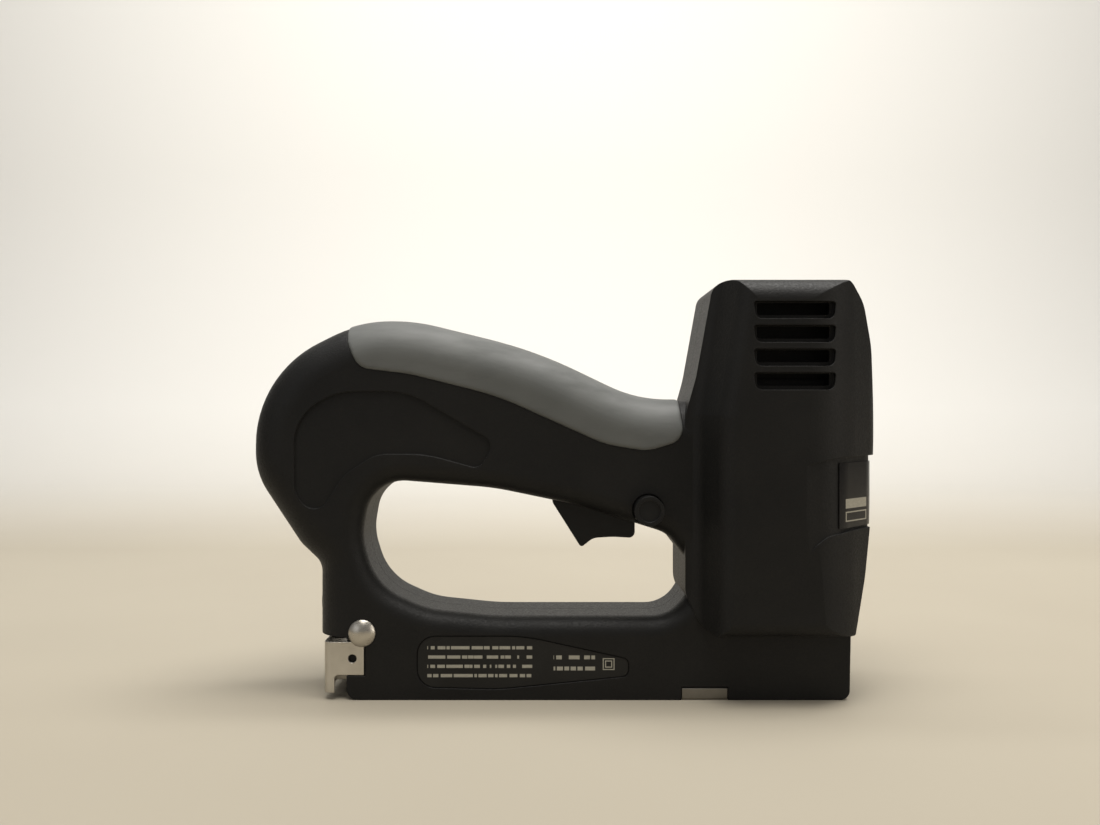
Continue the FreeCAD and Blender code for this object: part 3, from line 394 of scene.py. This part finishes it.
DULL_STEEL = brushed_metal("zinc_strap", (0.16, 0.15, 0.13), (0.27, 0.255, 0.225), (0.3, 0.5))
DARK_STEEL = brushed_metal("blackened_steel", (0.045, 0.045, 0.048), (0.10, 0.10, 0.105),
                           (0.35, 0.5))
CAN = gloss_film("capacitor_sleeve", (0.006, 0.006, 0.007), 0.12)
GLOSS = gloss_film("gloss_panel", (0.005, 0.005, 0.006), 0.10, panel_print)
LABEL = gloss_film("rating_film", (0.006, 0.0058, 0.0052), 0.40, rating_print)
COPPER = wound_copper("copper_turns")

LOOKS = {
    BLACK: ["right_housing", "left_housing"],
    CONTROL: ["trigger", "lock_button", "micro_switch", "drive_thyristor"],
    BOBBIN: ["coil_bobbin", "terminal_block"],
    BOARD: ["circuit_board"],
    BUMPER: ["cord_inlet_bush", "upper_bumper", "lower_bumper"],
    DULL_STEEL: ["front_clip"],
    STEEL: ["magazine_end_cap", "cross_pin", "magazine_channel", "magazine_rail",
            "guide_rod", "board_screws", "trigger_pin", "blade_pin", "switch_lever"],
    STEEL_UP: ["nose_front_plate", "nose_back_plate", "driver_blade", "plunger"],
    SPRING: ["return_spring", "trigger_spring", "follower_spring"],
    DARK_STEEL: ["solenoid_yoke", "case_screws", "follower"],
    GLOSS: ["front_label"],
    CAN: ["drive_capacitor"],
    SLEEVE: ["supply_leads", "coil_leads"],
    LABEL: ["rating_label"],
    COPPER: ["coil_winding"],
}
for look, names in LOOKS.items():
    for name in names:
        node = nodes[name]
        node.data.materials.clear()
        node.data.materials.append(look)


def shade(obj, degrees=CREASE_ANGLE):
    """Smooth shading that keeps real creases."""
    mesh = obj.data
    mesh.set_sharp_from_angle(angle=math.radians(degrees))
    mesh.polygons.foreach_set("use_smooth", [True] * len(mesh.polygons))


for node in nodes.values():
    shade(node)


# --- soft grip -----------------------------------------------------------------------------------

def applied(obj, kind, **settings):
    """Adds a modifier with these settings and applies it at once."""
    modifier = obj.modifiers.new(kind.lower(), kind)
    for key, value in settings.items():
        setattr(modifier, key, value)
    bpy.context.view_layer.objects.active = obj
    with bpy.context.temp_override(object=obj, active_object=obj):
        bpy.ops.object.modifier_apply(modifier=modifier.name)


def soft_grip():
    """Rubber grip with rounded lips, grown from the space that the CAD keeps for it."""
    mesh = nodes["grip_cushion"].data.copy()
    grip = bpy.data.objects.new("rubber_grip", mesh)
    scene.collection.objects.link(grip)
    applied(grip, "REMESH", mode="VOXEL", voxel_size=GRIP_VOXEL)
    applied(grip, "SMOOTH", factor=0.5, iterations=4)
    grip.data.materials.clear()
    grip.data.materials.append(GRIP)
    shade(grip, 180)
    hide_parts("grip_cushion")
    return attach(grip, "stapler_body")


soft_grip()


# --- springs -------------------------------------------------------------------------------------

def live_spring(name, body, axis, fixed_end_high):
    """Copy of a spring that moves with its body, in place of the original part."""
    low, high = (Vector(corner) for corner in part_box(name))
    anchor = (low + high) / 2
    anchor[axis] = high[axis] if fixed_end_high else low[axis]
    piece = bpy.data.objects.new(name + "_coils", nodes[name].data.copy())
    scene.collection.objects.link(piece)
    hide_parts(name)
    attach(piece, body)
    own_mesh(piece)


live_spring("return_spring", "stapler_body", Z_AXIS, False)
live_spring("follower_spring", "magazine_slide", X_AXIS, False)
live_spring("trigger_spring", "stapler_body", Z_AXIS, True)


# --- floor, light and camera ---------------------------------------------------------------------

def backdrop():
    """Plain pale floor that curves up into a wall behind the object."""
    bm = bmesh.new()
    profile = [(FLOOR_FRONT, 0.0), (CURVE_START, 0.0)]
    for step in range(1, CURVE_STEPS + 1):
        angle = math.pi / 2 * step / CURVE_STEPS
        profile.append((CURVE_START + CURVE_RADIUS * math.sin(angle),
                        CURVE_RADIUS - CURVE_RADIUS * math.cos(angle)))
    profile.append((CURVE_START + CURVE_RADIUS, WALL_TOP))
    left, right = ([bm.verts.new((x, y, z)) for y, z in profile]
                   for x in (-FLOOR_HALF_WIDTH, FLOOR_HALF_WIDTH))
    for index in range(len(profile) - 1):
        bm.faces.new((left[index], right[index], right[index + 1], left[index + 1]))
    mesh = bpy.data.meshes.new("studio_floor")
    bm.to_mesh(mesh)
    bm.free()
    floor = bpy.data.objects.new("studio_floor", mesh)
    scene.collection.objects.link(floor)
    mesh.polygons.foreach_set("use_smooth", [True] * len(mesh.polygons))
    mat, tree, shader = new_material("studio_paper")
    vector = coordinates(tree)
    table = ramp(tree, noise(tree, vector, 3.0), [(0.3, TABLE_DARK), (0.7, TABLE_LIGHT)])
    rise = span(tree, separate(tree, vector)["Y"], 0.35, 1.2, 0.0, 1.0)
    tree.links.new(mix(tree, rise, table, WALL_COLOUR), shader.inputs["Base Color"])
    shader.inputs["Roughness"].default_value = 0.85
    mesh.materials.append(mat)


def area_light(name, place, target, size, power, colour=(1, 1, 1)):
    """Rectangular lamp aimed at a point."""
    data = bpy.data.lights.new(name, "AREA")
    data.shape = "RECTANGLE"
    data.size, data.size_y = size
    data.energy = power
    data.color = colour
    light = bpy.data.objects.new(name, data)
    light.location = place
    light.rotation_euler = (Vector(target) - Vector(place)).to_track_quat("-Z", "Y").to_euler()
    scene.collection.objects.link(light)


backdrop()
area_light("key", place=(0.10, -0.12, 0.95), target=TOOL_MIDDLE, size=(0.9, 0.5),
           power=10.5, colour=(1.0, 0.97, 0.92))
area_light("fill", place=(-0.9, -0.9, 0.45), target=TOOL_MIDDLE, size=(0.8, 0.8),
           power=1.2, colour=(0.95, 0.97, 1.0))
area_light("side", place=(0.9, -0.5, 0.30), target=(0.05, 0.0, 0.07), size=(0.3, 0.8),
           power=2.0, colour=(1.0, 0.93, 0.84))
area_light("back", place=(0.0, 0.25, 1.3), target=(0.0, 1.4, 0.7), size=(1.6, 0.6), power=24.0)

world = bpy.data.worlds.new("studio_world")
world.use_nodes = True
background = world.node_tree.nodes["Background"]
background.inputs["Color"].default_value = SKY_COLOUR
background.inputs["Strength"].default_value = SKY_STRENGTH
scene.world = world
scene.view_settings.view_transform = "Standard"

camera_data = bpy.data.cameras.new("camera")
camera_data.sensor_width = CAMERA_SENSOR
camera_data.lens = CAMERA_LENS
camera_data.clip_start = 0.01
camera = bpy.data.objects.new("camera", camera_data)
camera.location = CAMERA_PLACE
camera.rotation_euler = (math.radians(90), 0, 0)
scene.collection.objects.link(camera)
scene.camera = camera
